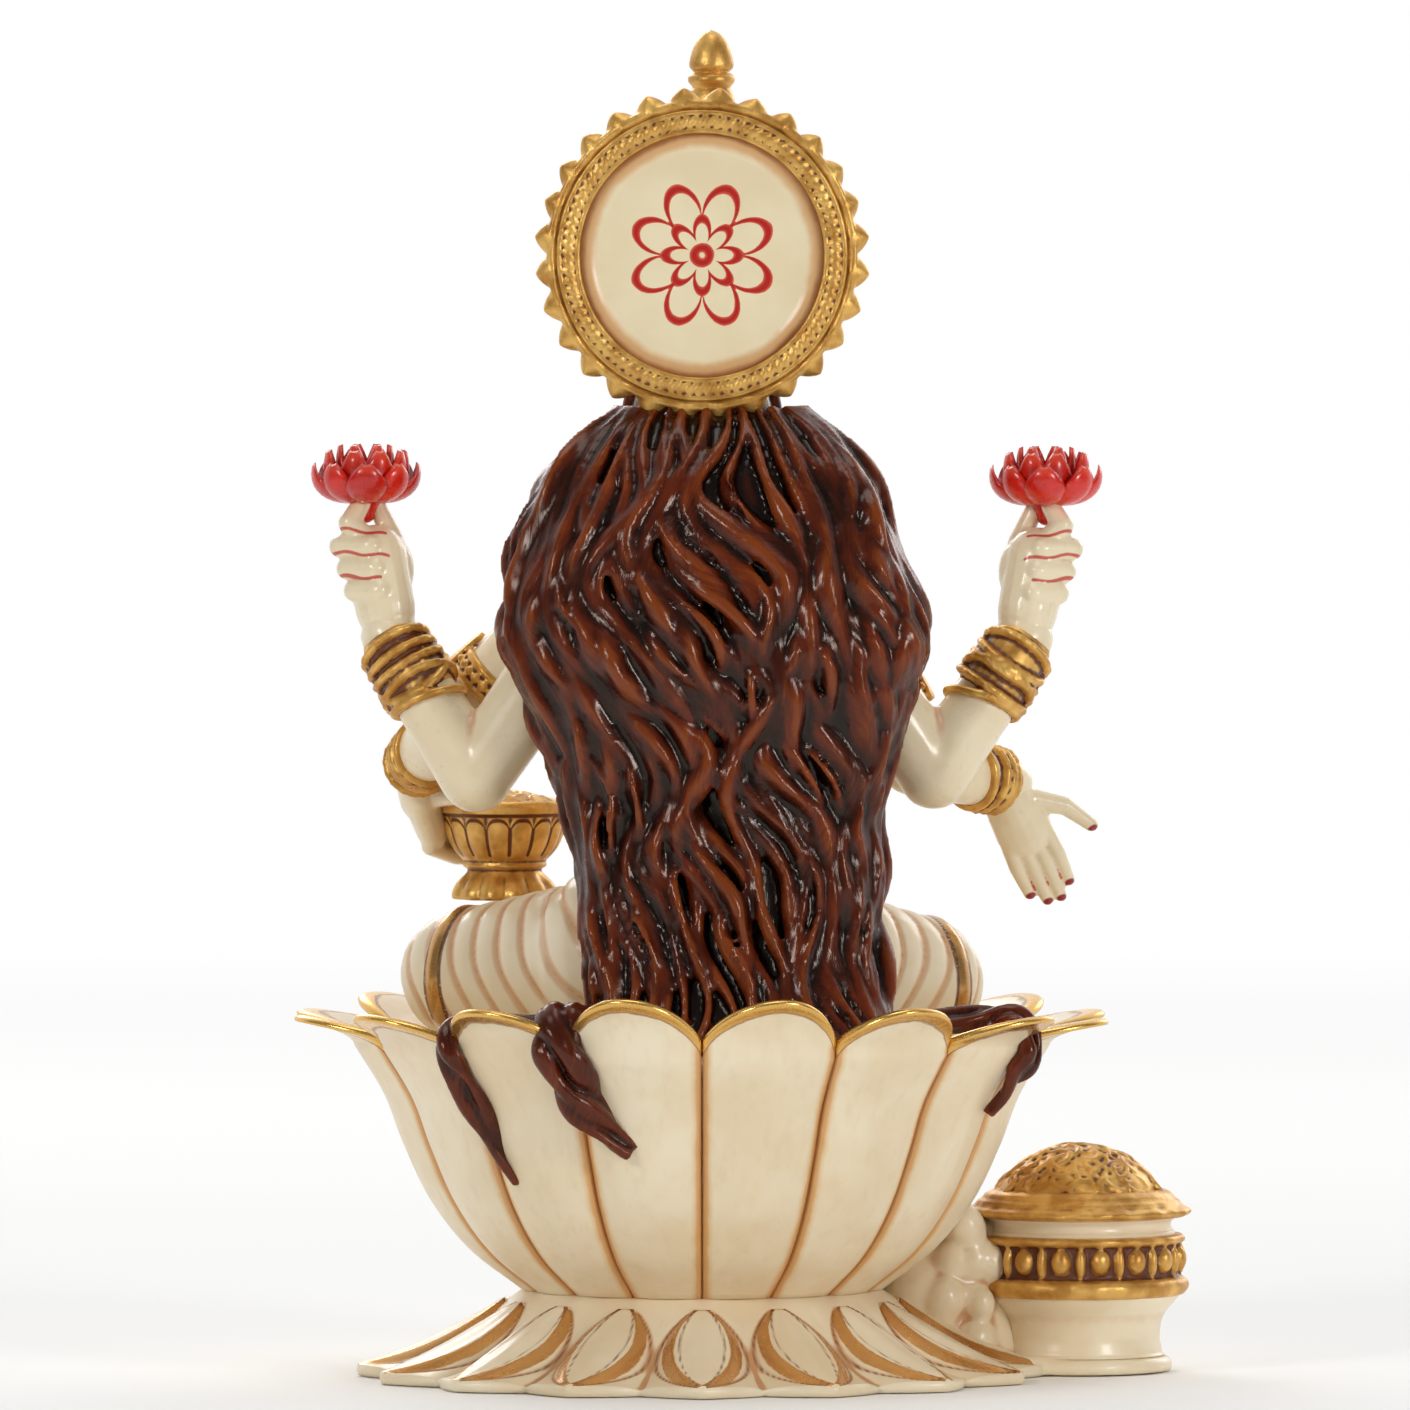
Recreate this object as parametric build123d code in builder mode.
from build123d import *
import os
from math import asin, cos, degrees, pi, radians, sin

os.makedirs("parts", exist_ok=True)

# A four-armed goddess seated cross-legged on a lotus, cast in marble dust and resin.
# Millimetres, +Z up, origin on the floor under the middle of the lotus. The figure
# faces -Y, so +X is the figure's left. Every piece is glued, and nothing moves.

# ---------------------------------------------------------------- driving dimensions
glue_gap = 0.15  # clearance round each peg in its socket
peg_length = 4.0
peg_radius = 2.2

base_height = 15.0
base_edge = 1.6  # thickness of the skirt's rim
base_tip_radius = 59.0
base_valley_radius = 53.0
base_neck_radius = 31.0
base_shoulder_radius = 43.0
base_shoulder_height = 6.2
base_points = 16
spigot_radius = 14.0
spigot_length = 5.0

petal_count = 16
seat_height = 42.0  # from the skirt's top to the face the figure sits on
bowl_foot_radius = 30.5
bowl_mid_radius = 45.6
bowl_mid_height = 15.5
bowl_top_radius = 59.0
petal_thickness = 3.4
petal_gap = 0.3  # between neighbouring petals at the bowl's top
petal_rise_back = 9.0  # petal tip above the seat face, front and back
petal_rise_side = 5.5
valley_rise = 3.0  # lowest point between two petals' rims above the seat face
petal_reach_back = 5.0  # petal tip beyond the bowl's top radius, front and back
petal_reach_side = 9.5

pot_x = -64.7
pot_y = -13.0
pot_floor = 2.6  # thickness of the ledge under the pot
pot_foot_radius = 10.5
pot_belly_radius = 17.4
pot_band_radius = 18.8
pot_band_low = 13.7
pot_band_high = 23.0
pot_neck_radius = 16.6
pot_rim_radius = 18.2
pot_rim_low = 26.4
pot_rim_high = 30.0
pot_recess_depth = 3.0
pot_wall = 2.6
coin_heap_height = 9.4
ledge_radius = 16.5

hip_height = 15.0  # above the seat face, as all heights of the figure are
hip_radius = 17.0
thigh_radius = 15.0
knee_radius = 13.6
shin_radius = 9.5
ankle_radius = 6.0

waist_height = 35.0
chest_height = 66.0
shoulder_height = 77.0
neck_height = 88.0
neck_radius = 5.2
chin_height = 93.5
head_height = 31.0
head_radius = 12.2
head_y = 3.0

arm_radius = 6.6
elbow_radius = 5.9
wrist_radius = 4.3
bangle_thickness = 1.5
bangle_stack = 8.6

crown_base_height = 113.0  # above the seat face
crown_base_radius = 13.6
crown_mid_radius = 11.2
crown_top_radius = 4.4
crown_height = 44.0
finial_radius = 3.8
finial_height = 16.0
crown_x = -1.6

halo_height = 134.8  # centre above the seat face
halo_radius = 28.2
halo_teeth = 28
tooth_depth = 3.4
halo_ring_outer = 24.4
halo_ring_inner = 21.0
halo_thickness = 4.4
halo_ring_proud = 1.2
halo_front_y = 18.0
halo_boss_radius = 7.5

bowl_x = 34.0
bowl_y = -25.0
bowl_foot_height = 23.6
bowl_rim_height = 40.0
bowl_rim_radius = 10.9
bowl_neck_radius = 6.2
bowl_base_radius = 8.2

flower_radius = 8.8
flower_height = 9.6
flower_petals = 9

# ------------------------------------------------------------------- derived places
seat_top = base_height + seat_height
petal_pitch = 360 / petal_count
crown_top_z = seat_top + crown_base_height + crown_height


def over_seat(x, y, height):
    """A point given by its height above the seat face."""
    return Vector(x, y, seat_top + height)


def limb(start, end, start_radius, end_radius):
    """Round-ended tapered limb along a line, turned as one profile. Used inside a part."""
    start = Vector(start)
    end = Vector(end)
    length = (end - start).length
    along = (end - start).normalized()
    side = along.cross(Vector(0.31, 0.87, 0.39)).normalized()
    tilt = asin((start_radius - end_radius) / length)
    opening = pi / 2 - tilt
    half_start = (pi + opening) / 2
    half_end = opening / 2
    joint_start = (start_radius * cos(opening), start_radius * sin(opening))
    joint_end = (length + end_radius * cos(opening), end_radius * sin(opening))
    mid_start = (start_radius * cos(half_start), start_radius * sin(half_start))
    mid_end = (length + end_radius * cos(half_end), end_radius * sin(half_end))
    with BuildSketch(Plane(origin=start, x_dir=along, z_dir=side)) as profile:
        with BuildLine():
            Line((-start_radius, 0), (length + end_radius, 0))
            ThreePointArc((length + end_radius, 0), mid_end, joint_end)
            Line(joint_end, joint_start)
            ThreePointArc(joint_start, mid_start, (-start_radius, 0))
        make_face()
    revolve(profile.sketch, axis=Axis(start, along))


def turned(points, centre):
    """Body turned about a vertical line at centre, from (radius, z) points."""
    with BuildSketch(Plane(origin=centre, x_dir=(1, 0, 0), z_dir=(0, -1, 0))) as profile:
        with BuildLine():
            Polyline(*points, close=True)
        make_face()
    revolve(profile.sketch, axis=Axis(centre, (0, 0, 1)))


def peg(start, direction, radius, length):
    """Round peg from start along direction. Used inside a part."""
    with BuildSketch(Plane(origin=start, z_dir=direction)) as section:
        Circle(radius)
    extrude(section.sketch, amount=length)


def socket(start, direction, radius, length):
    """Hole for a peg of this radius, with room for glue. Used inside a part."""
    with BuildSketch(Plane(origin=start, z_dir=direction)) as section:
        Circle(radius + glue_gap)
    extrude(section.sketch, amount=length + glue_gap, mode=Mode.SUBTRACT)


def finish(builder, name):
    """Label a piece and write it."""
    builder.part.label = name
    export_step(builder.part, f"parts/{name}.step")


# ----------------------------------------------------------------------------- base
pot_reach = Vector(pot_x, pot_y, 0)

with BuildPart() as base_skirt:
    with BuildSketch(Plane.XZ):
        with BuildLine():
            Polyline(
                (base_neck_radius, base_height),
                (0, base_height),
                (0, 0),
                (base_tip_radius, 0),
                (base_tip_radius, base_edge),
            )
            Spline(
                (base_tip_radius, base_edge),
                (base_shoulder_radius, base_shoulder_height),
                (base_neck_radius, base_height),
            )
        make_face()
    revolve(axis=Axis.Z)
    # pointed petal outline, with a tip behind every joint between two lotus petals
    outline = []
    for i in range(2 * base_points):
        reach = base_valley_radius if i % 2 else base_tip_radius
        turn = radians(90 + i * 180 / base_points)
        outline.append((reach * cos(turn), reach * sin(turn)))
    with BuildSketch(Plane.XY):
        Polygon(*outline, align=None)
    extrude(amount=base_height, mode=Mode.INTERSECT)
    # ledge that carries the money pot
    with BuildSketch(Plane(origin=(0, 0, 0), x_dir=pot_reach, z_dir=(0, 0, 1))):
        with Locations((pot_reach.length / 2, 0)):
            SlotCenterToCenter(pot_reach.length, 2 * ledge_radius)
    extrude(amount=pot_floor)
    socket((0, 0, base_height), (0, 0, -1), spigot_radius, spigot_length)
    socket((pot_x, pot_y, pot_floor), (0, 0, -1), pot_foot_radius / 2, pot_floor / 2)
finish(base_skirt, "base_skirt")


# ----------------------------------------------------------------------- lotus seat
def bowl_line(inset):
    """Side of the lotus bowl, as a curve from the skirt's top to the seat face."""
    return Spline(
        (bowl_foot_radius - inset, base_height),
        (bowl_mid_radius - inset, base_height + bowl_mid_height),
        (bowl_top_radius - inset, seat_top),
        tangents=[(1, 0.45), (0.45, 1)],
    )


with BuildPart() as seat_core:
    with BuildSketch(Plane.XZ):
        with BuildLine():
            side = bowl_line(petal_thickness)
            Polyline(side @ 1, (0, seat_top), (0, base_height), side @ 0)
        make_face()
    revolve(axis=Axis.Z)
    peg((0, 0, base_height), (0, 0, -1), spigot_radius, spigot_length)
finish(seat_core, "seat_core")

petals = []
gap_angle = degrees(petal_gap / bowl_top_radius)
for i in range(petal_count):
    middle = 90 + (i + 0.5) * petal_pitch
    sideways = abs(cos(radians(middle)))
    reach = petal_reach_back + (petal_reach_side - petal_reach_back) * sideways
    rise = petal_rise_back + (petal_rise_side - petal_rise_back) * sideways
    tip = (bowl_top_radius + reach, seat_top + rise)
    start = radians(middle - petal_pitch / 2 + gap_angle / 2)
    edge_plane = Plane(
        origin=(0, 0, 0), x_dir=(cos(start), sin(start), 0), z_dir=(sin(start), -cos(start), 0)
    )
    with BuildPart() as petal:
        with BuildSketch(edge_plane):
            with BuildLine():
                outer = bowl_line(0)
                inner = bowl_line(petal_thickness)
                lip = (tip[0] - petal_thickness / 3, tip[1] + petal_thickness / 2)
                Spline(outer @ 1, tip, tangents=[(0.45, 1), (1, 0.5)])
                Line(tip, lip)
                Spline(inner @ 1, lip, tangents=[(0.45, 1), (1, 0.5)])
                Line(inner @ 0, outer @ 0)
            make_face()
        revolve(axis=Axis.Z, revolution_arc=petal_pitch - gap_angle)
        # plan outline: full width on the bowl, drawn to a point at the tip
        turn_plane = Plane(
            origin=(0, 0, base_height),
            x_dir=(cos(radians(middle)), sin(radians(middle)), 0),
            z_dir=(0, 0, 1),
        )
        half = bowl_top_radius * sin(radians(petal_pitch / 2)) + petal_thickness
        shoulder = bowl_top_radius - petal_thickness
        with BuildSketch(turn_plane):
            with BuildLine():
                Polyline((shoulder, -half), (0, -half), (0, half), (shoulder, half))
                ThreePointArc(
                    (shoulder, half),
                    ((shoulder + tip[0]) / 2 + reach * 0.3, half * 0.55),
                    (tip[0] + 0.2, 0),
                )
                ThreePointArc(
                    (tip[0] + 0.2, 0),
                    ((shoulder + tip[0]) / 2 + reach * 0.3, -half * 0.55),
                    (shoulder, -half),
                )
            make_face()
        extrude(amount=seat_height + 2 * petal_rise_back, mode=Mode.INTERSECT)
    finish(petal, f"petal_{i + 1:02d}")
    petals.append(petal)

# ------------------------------------------------------------------------ money pot
pot_centre = Vector(pot_x, pot_y, 0)
with BuildPart() as pot_body:
    turned(
        [
            (0, pot_floor),
            (pot_foot_radius, pot_floor),
            (pot_foot_radius + 1.2, pot_floor + 2.4),
            (pot_belly_radius - 1.6, pot_band_low - 4.2),
            (pot_belly_radius, pot_band_low),
            (pot_neck_radius, pot_band_low),
            (pot_neck_radius, pot_rim_low),
            (pot_rim_radius, pot_rim_low + 1.2),
            (pot_rim_radius, pot_rim_high - 0.8),
            (pot_rim_radius - 0.8, pot_rim_high),
            (pot_rim_radius - pot_wall, pot_rim_high),
            (pot_rim_radius - pot_wall, pot_rim_high - pot_recess_depth),
            (0, pot_rim_high - pot_recess_depth),
        ],
        pot_centre,
    )
    peg((pot_x, pot_y, pot_floor), (0, 0, -1), pot_foot_radius / 2, pot_floor / 2)
finish(pot_body, "pot_body")

with BuildPart() as pot_band:
    turned(
        [
            (pot_neck_radius, pot_band_low),
            (pot_band_radius - 1.2, pot_band_low),
            (pot_band_radius, pot_band_low + 1.5),
            (pot_band_radius, pot_band_high - 1.5),
            (pot_band_radius - 1.2, pot_band_high),
            (pot_neck_radius, pot_band_high),
        ],
        pot_centre,
    )
finish(pot_band, "pot_band")

heap_foot = pot_rim_high - pot_recess_depth
heap_radius = pot_rim_radius - pot_wall - glue_gap
with BuildPart() as coin_mound:
    with BuildSketch(Plane(origin=pot_centre, x_dir=(1, 0, 0), z_dir=(0, -1, 0))):
        with BuildLine():
            Polyline(
                (0, pot_rim_high + coin_heap_height),
                (0, heap_foot),
                (heap_radius, heap_foot),
                (heap_radius, pot_rim_high + 0.6),
            )
            Spline(
                (heap_radius, pot_rim_high + 0.6),
                (heap_radius * 0.66, pot_rim_high + coin_heap_height * 0.7),
                (0, pot_rim_high + coin_heap_height),
                tangents=[(-0.3, 1), (-1, 0)],
            )
        make_face()
    revolve(axis=Axis(pot_centre, (0, 0, 1)))
finish(coin_mound, "coin_mound")

# --------------------------------------------------------------- legs under the dress
left_knee = over_seat(37.9, -14, hip_height - 0.6)
right_knee = over_seat(-34.6, -14, hip_height - 1.2)
left_ankle = over_seat(-13, -38, 7.0)
right_ankle = over_seat(9, -36, 12.0)

with BuildPart() as legs_dhoti:
    limb(over_seat(-12, 12, hip_height), over_seat(12, 12, hip_height), hip_radius, hip_radius)
    limb(over_seat(14, 8, hip_height), left_knee, thigh_radius, knee_radius)
    limb(over_seat(-14, 8, hip_height), right_knee, thigh_radius, knee_radius)
    limb(left_knee - Vector(0, 0, 4), left_ankle, shin_radius, ankle_radius + 1)
    limb(right_knee - Vector(0, 0, 4), right_ankle, shin_radius, ankle_radius)
    # lap between the thighs
    with Locations(over_seat(0, -8, hip_height / 2)):
        Box(44, 34, hip_height)
    split(bisect_by=Plane.XY.offset(seat_top), keep=Keep.TOP)
    add(seat_core.part, mode=Mode.SUBTRACT)
    for petal in petals:
        add(petal.part, mode=Mode.SUBTRACT)

with BuildPart() as foot_left:
    limb(left_ankle + Vector(-1, 0, -1), over_seat(-28, -40, 4.6), 5.4, 3.8)
    split(bisect_by=Plane.XY.offset(seat_top), keep=Keep.TOP)
    add(legs_dhoti.part, mode=Mode.SUBTRACT)
finish(foot_left, "foot_left")

with BuildPart() as foot_right:
    limb(right_ankle + Vector(1, 0, 0), over_seat(25, -39, 11.0), 5.4, 3.8)
    add(legs_dhoti.part, mode=Mode.SUBTRACT)
    add(foot_left.part, mode=Mode.SUBTRACT)
finish(foot_right, "foot_right")

with BuildPart() as front_pleats:
    # fan of cloth that spreads over the seat in front of the shins
    with BuildSketch(Plane.XY.offset(seat_top)):
        with BuildLine():
            Line((-4, -34), (4, -34))
            Line((4, -34), (15, -49))
            ThreePointArc((15, -49), (0, -53), (-15, -49))
            Line((-15, -49), (-4, -34))
        make_face()
    extrude(amount=4.0)
    add(legs_dhoti.part, mode=Mode.SUBTRACT)
    add(foot_left.part, mode=Mode.SUBTRACT)
    add(foot_right.part, mode=Mode.SUBTRACT)
finish(front_pleats, "front_pleats")

# ---------------------------------------------------------------------------- torso
torso_levels = [
    (hip_height + 8, 21.0, 15.0, 11.0),
    (waist_height, 16.0, 11.5, 10.0),
    ((waist_height + chest_height) / 2, 19.5, 13.0, 8.5),
    (chest_height, 23.5, 13.5, 7.5),
    (shoulder_height, 24.5, 10.0, 7.5),
    (neck_height - 5, 12.0, 7.5, 6.0),
]
with BuildPart() as torso:
    for height, half_width, half_depth, middle_y in torso_levels:
        with BuildSketch(Plane.XY.offset(seat_top + height)):
            with Locations((0, middle_y)):
                Ellipse(half_width, half_depth)
    loft(ruled=True)
    neck_foot = seat_top + neck_height - 10
    neck_top = seat_top + chin_height + 2
    neck_axis = Axis((0, head_y + 2.6, 0), (0, 0, 1))
    with BuildSketch(Plane(origin=neck_axis.position, x_dir=(1, 0, 0), z_dir=(0, -1, 0))):
        with BuildLine():
            Polyline(
                (0, neck_foot),
                (neck_radius + 2.4, neck_foot),
                (neck_radius + 1.2, neck_foot + 6),
                (neck_radius, neck_top),
                (0, neck_top),
                close=True,
            )
        make_face()
    revolve(axis=neck_axis)
    add(legs_dhoti.part, mode=Mode.SUBTRACT)

with BuildPart() as head:
    head_centre = Vector(0, head_y, 0)
    head_z = seat_top + chin_height
    with BuildSketch(Plane(origin=head_centre, x_dir=(1, 0, 0), z_dir=(0, -1, 0))):
        with BuildLine():
            Line((0, head_z), (0, head_z + head_height))
            Spline(
                (0, head_z + head_height),
                (head_radius, head_z + head_height * 0.62),
                (head_radius * 0.8, head_z + head_height * 0.22),
                (0, head_z),
                tangents=[(1, 0), (-1, 0)],
            )
        make_face()
    revolve(axis=Axis(head_centre, (0, 0, 1)))
    add(torso.part, mode=Mode.SUBTRACT)


# ----------------------------------------------------------------------------- arms
def arm(shoulder, elbow, wrist):
    """Upper arm and forearm, squared off at the wrist, with a peg into the torso."""
    forearm = (wrist - elbow).normalized()
    inward = (-1 if shoulder.X > 0 else 1, 0, 0)
    limb(shoulder, elbow, arm_radius, elbow_radius)
    limb(elbow, wrist, elbow_radius + 0.2, wrist_radius)
    split(bisect_by=Plane(origin=wrist, z_dir=forearm), keep=Keep.BOTTOM)
    add(torso.part, mode=Mode.SUBTRACT)
    peg(shoulder, inward, peg_radius, 2 * peg_length)


def bangles(wrist, elbow, arm_part):
    """Stack of bangles round the forearm just behind the wrist."""
    back = (elbow - wrist).normalized()
    outer = elbow_radius - 0.4 + bangle_thickness
    with BuildSketch(Plane(origin=wrist + back * 1.2, z_dir=back)) as hand_end:
        Circle(outer - 0.6)
    with BuildSketch(Plane(origin=wrist + back * (1.2 + bangle_stack), z_dir=back)) as elbow_end:
        Circle(outer + 0.4)
    loft(sections=[hand_end.sketch, elbow_end.sketch])
    add(arm_part, mode=Mode.SUBTRACT)


def hand(wrist, palm_end, tip, spread, thumb, arm_part):
    """Palm, four fingers and a thumb, with a peg hole at the wrist left to the arm."""
    limb(wrist + (palm_end - wrist) * 0.35, palm_end, wrist_radius, wrist_radius * 0.95)
    for k in range(4):
        offset = spread * ((k - 1.5) / 1.5)
        limb(palm_end + offset * 0.6, tip + offset, 1.7, 1.2)
    limb(wrist + (palm_end - wrist) * 0.4, thumb, 2.0, 1.3)
    add(arm_part, mode=Mode.SUBTRACT)


rear_shoulder = {1: over_seat(21, 14, 74), -1: over_seat(-22, 14, 74)}
rear_elbow = {1: over_seat(39.0, 13, 46.5), -1: over_seat(-40.0, 13, 47.0)}
rear_wrist = {1: over_seat(52.8, 9, 69), -1: over_seat(-54.6, 9, 68.5)}
rear_palm = {1: over_seat(55.5, 6, 80), -1: over_seat(-56.5, 6, 80)}
rear_tip = {1: over_seat(54.5, 2.5, 91), -1: over_seat(-54.5, 2.5, 90)}
rear_thumb = {1: over_seat(58.6, 1, 86), -1: over_seat(-59.5, 1, 87)}

front_shoulder = {1: over_seat(24, 3, 75), -1: over_seat(-24, 3, 75)}
front_elbow = {1: over_seat(43, -2, 52), -1: over_seat(-36, -1, 47)}
front_wrist = {1: over_seat(49, -17, 46), -1: over_seat(-52, -17, 43.6)}
front_palm = {1: over_seat(47, -25, 38), -1: over_seat(-56.5, -20, 35)}
front_tip = {1: over_seat(38, -37, 31), -1: over_seat(-59.5, -23, 27)}
front_thumb = {1: over_seat(45, -22, 42), -1: over_seat(-63.5, -18, 36)}

names = {1: "left", -1: "right"}
arms = []
hands = []
trinkets = []
for side in (1, -1):
    with BuildPart() as rear_arm:
        arm(rear_shoulder[side], rear_elbow[side], rear_wrist[side])
    with BuildPart() as front_arm:
        arm(front_shoulder[side], front_elbow[side], front_wrist[side])
        add(rear_arm.part, mode=Mode.SUBTRACT)
        add(legs_dhoti.part, mode=Mode.SUBTRACT)
    with BuildPart() as rear_bangles:
        bangles(rear_wrist[side], rear_elbow[side], rear_arm.part)
    with BuildPart() as front_bangles:
        bangles(front_wrist[side], front_elbow[side], front_arm.part)
        add(rear_arm.part, mode=Mode.SUBTRACT)
    with BuildPart() as rear_hand:
        hand(
            rear_wrist[side],
            rear_palm[side],
            rear_tip[side],
            Vector(0.6 * side, -3.6, 0.8),
            rear_thumb[side],
            rear_arm.part,
        )
        add(rear_bangles.part, mode=Mode.SUBTRACT)
    with BuildPart() as front_hand:
        hand(
            front_wrist[side],
            front_palm[side],
            front_tip[side],
            Vector(3.4 * side, 0, 0.9),
            front_thumb[side],
            front_arm.part,
        )
        add(front_bangles.part, mode=Mode.SUBTRACT)
        add(legs_dhoti.part, mode=Mode.SUBTRACT)
    with BuildPart() as armlet:
        upper = front_shoulder[side] + (front_elbow[side] - front_shoulder[side]) * 0.42
        along = (front_elbow[side] - front_shoulder[side]).normalized()
        with BuildSketch(Plane(origin=upper, z_dir=along)):
            Circle(arm_radius + 1.1)
        extrude(amount=2.4, both=True)
        add(front_arm.part, mode=Mode.SUBTRACT)
        add(torso.part, mode=Mode.SUBTRACT)
        add(rear_arm.part, mode=Mode.SUBTRACT)
    finish(rear_arm, f"rear_arm_{names[side]}")
    finish(front_arm, f"front_arm_{names[side]}")
    finish(rear_bangles, f"rear_bangles_{names[side]}")
    finish(front_bangles, f"front_bangles_{names[side]}")
    finish(armlet, f"armlet_{names[side]}")
    arms += [rear_arm, front_arm]
    hands += [rear_hand, front_hand]
    trinkets += [rear_bangles, front_bangles, armlet]

# ------------------------------------------------------------------ flowers in hands
for side, fingers in ((1, hands[0]), (-1, hands[2])):
    foot = rear_tip[side] + Vector(0, 0, -1.5)
    with BuildPart() as lotus_flower:
        turned(
            [
                (0, foot.Z),
                (2.2, foot.Z),
                (flower_radius * 0.62, foot.Z + flower_height * 0.34),
                (flower_radius * 0.5, foot.Z + flower_height),
                (0, foot.Z + flower_height),
            ],
            Vector(foot.X, foot.Y, 0),
        )
        for k in range(flower_petals):
            turn = radians(k * 360 / flower_petals)
            outward = Vector(cos(turn), sin(turn), 0)
            limb(
                foot + Vector(0, 0, flower_height * 0.34) + outward * (flower_radius * 0.4),
                foot + Vector(0, 0, flower_height * 0.72) + outward * (flower_radius - 1.6),
                1.9,
                1.5,
            )
        add(fingers.part, mode=Mode.SUBTRACT)
    finish(lotus_flower, f"lotus_flower_{names[side]}")

# ----------------------------------------------------------------------- gold bowl
with BuildPart() as kalash:
    foot_z = seat_top + bowl_foot_height
    rim_z = seat_top + bowl_rim_height
    span = rim_z - foot_z
    turned(
        [
            (0, foot_z),
            (bowl_base_radius, foot_z),
            (bowl_base_radius, foot_z + 1.6),
            (bowl_neck_radius, foot_z + span * 0.3),
            (bowl_neck_radius + 0.4, foot_z + span * 0.42),
            (bowl_rim_radius - 0.6, foot_z + span * 0.72),
            (bowl_rim_radius, rim_z - 1.6),
            (bowl_rim_radius, rim_z),
            (0, rim_z + 2.0),
        ],
        Vector(bowl_x, bowl_y, 0),
    )
    add(legs_dhoti.part, mode=Mode.SUBTRACT)
    add(hands[1].part, mode=Mode.SUBTRACT)
    add(arms[1].part, mode=Mode.SUBTRACT)
finish(kalash, "kalash")

# -------------------------------------------------------------------- crown and halo
crown_foot = seat_top + crown_base_height
crown_centre = Vector(crown_x, head_y, 0)
with BuildPart() as crown:
    turned(
        [
            (0, crown_foot),
            (crown_base_radius, crown_foot),
            (crown_base_radius + 0.6, crown_foot + 5),
            (crown_mid_radius, crown_foot + 8),
            (crown_mid_radius, crown_foot + crown_height * 0.42),
            (crown_mid_radius * 0.74, crown_foot + crown_height * 0.68),
            (crown_top_radius, crown_foot + crown_height * 0.9),
            (crown_top_radius, crown_foot + crown_height),
            (0, crown_foot + crown_height),
        ],
        crown_centre,
    )
    add(head.part, mode=Mode.SUBTRACT)
    socket(crown_centre + Vector(0, 0, crown_top_z), (0, 0, -1), peg_radius, peg_length)

with BuildPart() as crown_finial:
    turned(
        [
            (0, crown_top_z),
            (finial_radius - 0.8, crown_top_z),
            (finial_radius, crown_top_z + 1.2),
            (finial_radius, crown_top_z + 6.2),
            (finial_radius - 0.7, crown_top_z + 7.2),
            (finial_radius - 0.2, crown_top_z + 9.5),
            (finial_radius - 1.4, crown_top_z + finial_height - 2.2),
            (0, crown_top_z + finial_height),
        ],
        crown_centre,
    )
    peg(crown_centre + Vector(0, 0, crown_top_z), (0, 0, -1), peg_radius, peg_length)
finish(crown_finial, "crown_finial")

halo_z = seat_top + halo_height
halo_plane = Plane(origin=(0, halo_front_y, halo_z), x_dir=(-1, 0, 0), z_dir=(0, 1, 0))
with BuildPart() as halo_disc:
    with BuildSketch(halo_plane):
        Circle(halo_ring_inner)
    extrude(amount=halo_thickness * 0.7)
    peg((crown_x, halo_front_y, halo_z), (0, -1, 0), peg_radius, 2 * peg_length)
with BuildPart() as halo_rope_ring:
    with BuildSketch(halo_plane):
        Circle(halo_ring_outer)
        Circle(halo_ring_inner, mode=Mode.SUBTRACT)
    extrude(amount=halo_thickness + halo_ring_proud)

tooth_root = halo_radius - tooth_depth
tooth_half = pi * tooth_root / halo_teeth * 0.86
with BuildSketch() as tooth:
    with BuildLine():
        Polyline((-0.6, tooth_half), (-0.6, -tooth_half), (tooth_depth * 0.3, -tooth_half))
        ThreePointArc(
            (tooth_depth * 0.3, -tooth_half), (tooth_depth, 0), (tooth_depth * 0.3, tooth_half)
        )
        Line((tooth_depth * 0.3, tooth_half), (-0.6, tooth_half))
    make_face()
with BuildPart() as halo_tooth_ring:
    with BuildSketch(halo_plane):
        Circle(tooth_root)
        Circle(halo_ring_outer, mode=Mode.SUBTRACT)
        with PolarLocations(tooth_root, halo_teeth):
            add(tooth.sketch)
    extrude(amount=halo_thickness)

# a round boss on the crown's back takes the halo's peg and lies flat against the halo
with BuildPart() as crown_with_seat:
    add(crown.part)
    peg((crown_x, head_y, halo_z), (0, 1, 0), halo_boss_radius, halo_front_y - head_y)
    add(head.part, mode=Mode.SUBTRACT)
    socket((crown_x, halo_front_y, halo_z), (0, -1, 0), peg_radius, 2 * peg_length)
crown = crown_with_seat
finish(crown, "crown")

# ----------------------------------------------------------------- hair round the face
with BuildPart() as hair_cap:
    with BuildSketch(Plane.XY.offset(seat_top + neck_height + 1)):
        with Locations((0, head_y + 6)):
            Ellipse(14.5, 9)
    with BuildSketch(Plane.XY.offset(seat_top + chin_height + head_height * 0.45)):
        with Locations((0, head_y + 4)):
            Ellipse(14.8, 11)
    with BuildSketch(Plane.XY.offset(crown_foot)):
        with Locations((0, head_y + 2)):
            Ellipse(13.4, 11.5)
    loft()
    split(bisect_by=Plane(origin=(0, head_y - 3, 0), z_dir=(0, 1, 0)), keep=Keep.TOP)
    split(bisect_by=Plane(origin=(0, halo_front_y, 0), z_dir=(0, 1, 0)), keep=Keep.BOTTOM)
    add(head.part, mode=Mode.SUBTRACT)
    add(torso.part, mode=Mode.SUBTRACT)
finish(hair_cap, "hair_cap")
finish(head, "head")

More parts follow.
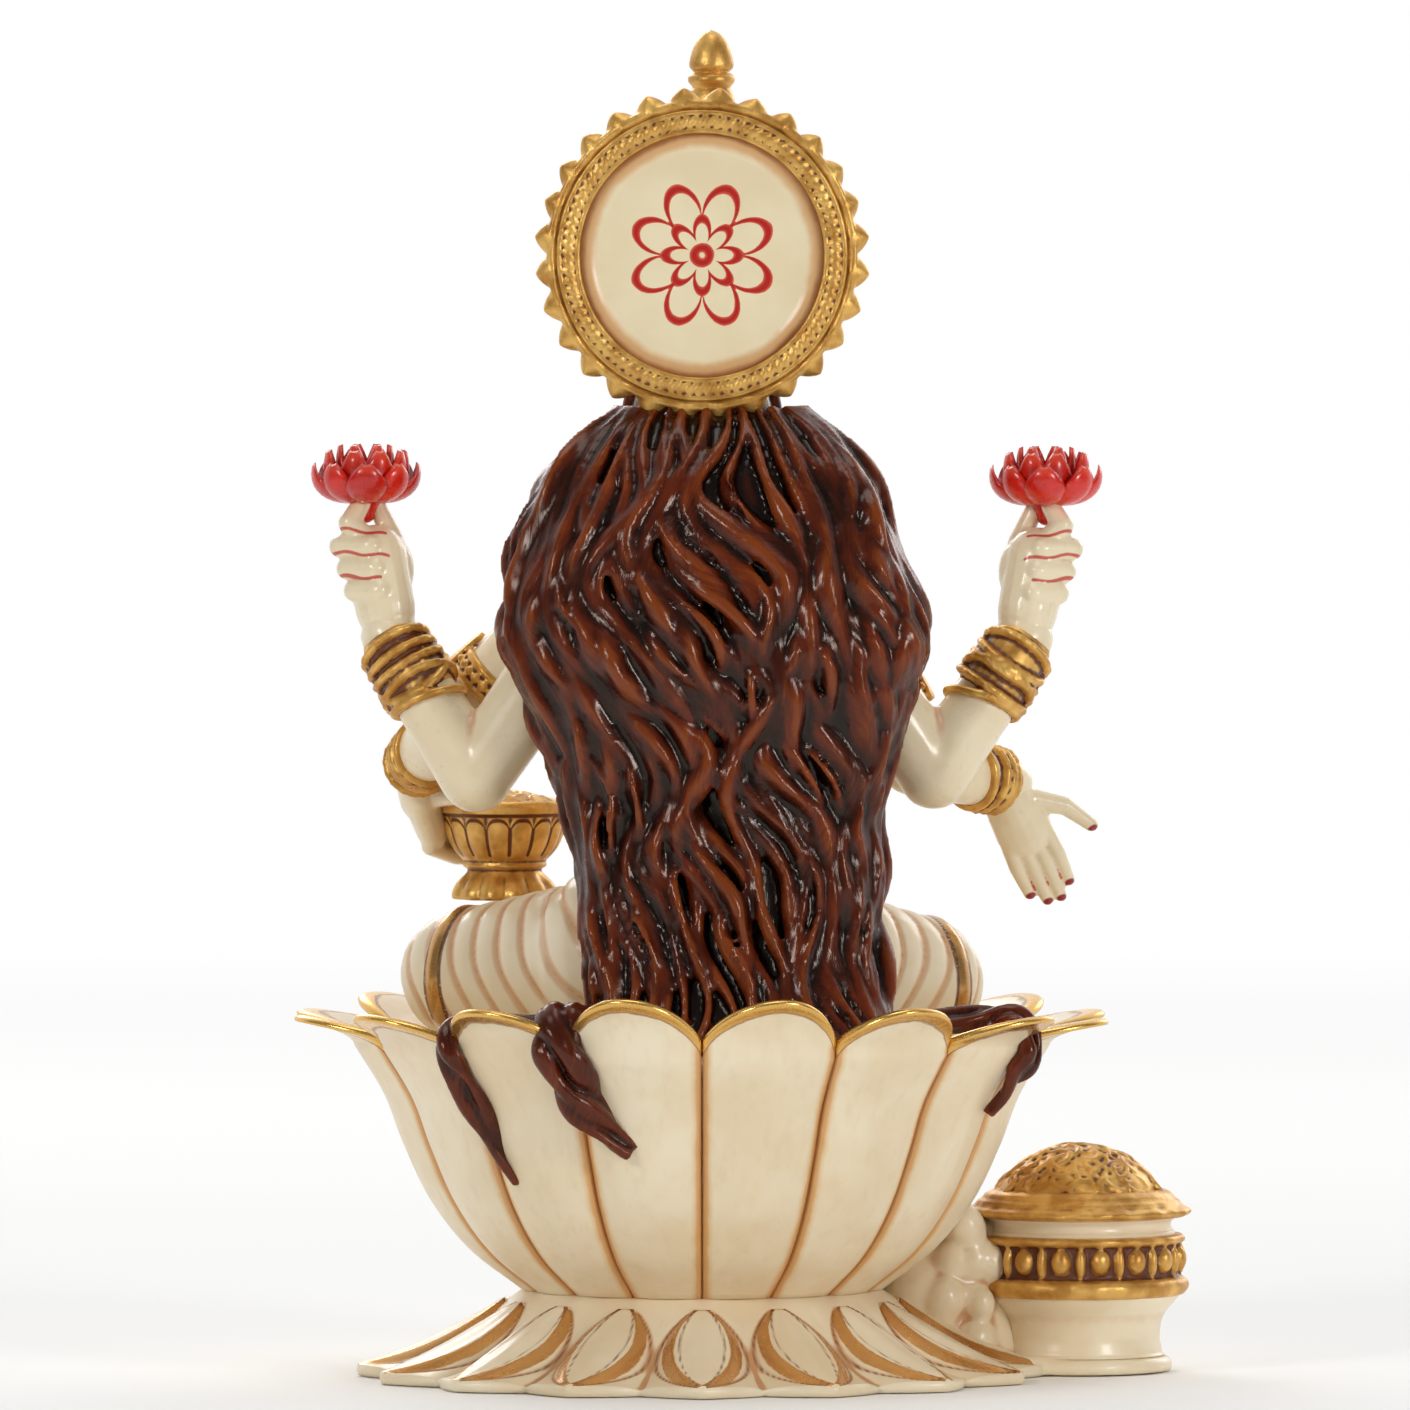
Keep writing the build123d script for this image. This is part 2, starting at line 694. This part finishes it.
# ---------------------------------------------------------------------- long hair
# level above the seat face, middle x, half width, back y, front y
hair_levels = [
    (2.5, -6.0, 27.0, 46.0, 24.0),
    (18.0, -4.7, 25.6, 40.0, 20.0),
    (35.0, -4.2, 26.6, 36.5, 16.0),
    (50.0, -3.0, 29.0, 36.5, 13.0),
    (62.0, -3.0, 33.5, 38.0, 12.0),
    (70.5, -2.6, 35.2, 38.6, 11.5),
    (84.0, -0.8, 33.0, 37.0, 10.5),
    (96.0, 0.2, 28.6, 32.0, 9.5),
    (108.0, -1.3, 17.6, 23.0, 9.0),
]
with BuildPart() as hair_mass:
    for level, middle_x, half_width, back_y, front_y in hair_levels:
        with BuildSketch(Plane.XY.offset(seat_top + level)):
            with Locations((middle_x, (back_y + front_y) / 2)):
                Ellipse(half_width, (back_y - front_y) / 2)
    loft()
    for other in [legs_dhoti, torso, head, hair_cap, crown, halo_disc, *arms, *trinkets]:
        add(other.part, mode=Mode.SUBTRACT)
    add(halo_rope_ring.part, mode=Mode.SUBTRACT)
    add(halo_tooth_ring.part, mode=Mode.SUBTRACT)
    biggest = hair_mass.part.solids().sort_by(SortBy.VOLUME)[-1]
    add(biggest, mode=Mode.REPLACE)
finish(hair_mass, "hair_mass")
finish(halo_disc, "halo_disc")
finish(halo_rope_ring, "halo_rope_ring")
finish(halo_tooth_ring, "halo_tooth_ring")
for side, pair in ((1, hands[:2]), (-1, hands[2:])):
    finish(pair[0], f"rear_hand_{names[side]}")
    finish(pair[1], f"front_hand_{names[side]}")


def rim_point(angle, beyond, height):
    """A point by its turn from +Y towards +X, how far it is beyond the bowl, and height."""
    lean = (bowl_top_radius - bowl_mid_radius) / (seat_height - bowl_mid_height)
    radius = bowl_top_radius + min(height, 0) * lean + beyond
    return over_seat(radius * sin(radians(angle)), radius * cos(radians(angle)), height)


# name, joint between petals that it crosses, its end's turn and height, where it
# leaves the long hair, thickness
lock_plan = [
    ("hair_lock_big", 1, 13.5, -15.0, over_seat(12, 40, 5.0), 4.2),
    ("hair_lock_thin", 2, 40.0, -22.0, over_seat(15, 37, 4.5), 3.0),
    ("hair_lock_side", -3, -62.0, -11.0, over_seat(-27, 36, 5.0), 3.2),
]
locks = []
for name, joint, end_turn, end_height, leave, thickness in lock_plan:
    crossing = joint * petal_pitch
    inside = rim_point(crossing, -8.0, 4.5)
    over = rim_point(crossing, 0.0, valley_rise + thickness * 0.6)
    down = rim_point((crossing * 2 + end_turn) / 3, thickness * 0.5, -5.0)
    end = rim_point(end_turn, thickness * 0.2, end_height)
    with BuildPart() as lock:
        limb(leave, inside, thickness, thickness * 0.8)
        limb(inside, over, thickness * 0.82, thickness * 0.7)
        limb(over, down, thickness * 0.72, thickness * 0.86)
        limb(down, end, thickness * 0.88, thickness * 0.5)
        for other in [hair_mass, seat_core, legs_dhoti, *petals, *locks]:
            add(other.part, mode=Mode.SUBTRACT)
        whole = lock.part.solids().sort_by(SortBy.VOLUME)[-1]
        add(whole, mode=Mode.REPLACE)
    locks.append(lock)
    finish(lock, name)

# ------------------------------------------------------------------------ jewellery
with BuildPart() as waist_belt:
    for height, half_width in ((waist_height - 4.5, 19.6), (waist_height + 1.0, 17.9)):
        with BuildSketch(Plane.XY.offset(seat_top + height)):
            with Locations((0, 10)):
                Ellipse(half_width, half_width - 4.2)
    loft()
    for other in [torso, legs_dhoti, hair_mass, kalash, *arms]:
        add(other.part, mode=Mode.SUBTRACT)
    girdle = waist_belt.part.solids().sort_by(SortBy.VOLUME)[-1]
    add(girdle, mode=Mode.REPLACE)
finish(waist_belt, "waist_belt")
with BuildPart() as torso_bored:
    add(torso.part)
    for side in (1, -1):
        for shoulder in (rear_shoulder[side], front_shoulder[side]):
            socket(shoulder, (-side, 0, 0), peg_radius, 2 * peg_length)
finish(torso_bored, "torso")
finish(legs_dhoti, "legs_dhoti")


def collar(name, height, radius, drop, thickness):
    """Necklace: a tilted ring that lies on the neck and chest."""
    with BuildPart() as ring:
        tilt = Plane(origin=over_seat(0, 5, height), z_dir=(0, drop, 1))
        with BuildSketch(tilt):
            Circle(radius)
        extrude(amount=thickness, both=True)
        for other in [torso, head, hair_cap, hair_mass, *arms]:
            add(other.part, mode=Mode.SUBTRACT)
        longest = ring.part.solids().sort_by(SortBy.VOLUME)[-1]
        add(longest, mode=Mode.REPLACE)
    finish(ring, name)
    return ring


necklace_short = collar("necklace_short", neck_height - 2.2, 8.4, -0.12, 1.2)
necklace_long = collar("necklace_long", shoulder_height - 2.0, 17.5, -0.9, 1.2)

for side in (1, -1):
    with BuildPart() as earring:
        lobe = Vector(side * (head_radius + 1.4), head_y - 3.5, seat_top + chin_height + 11)
        limb(lobe, lobe - Vector(0, 0, 6), 1.6, 2.4)
        for other in [head, hair_cap, torso, necklace_short, necklace_long, hair_mass]:
            add(other.part, mode=Mode.SUBTRACT)
    finish(earring, f"earring_{names[side]}")
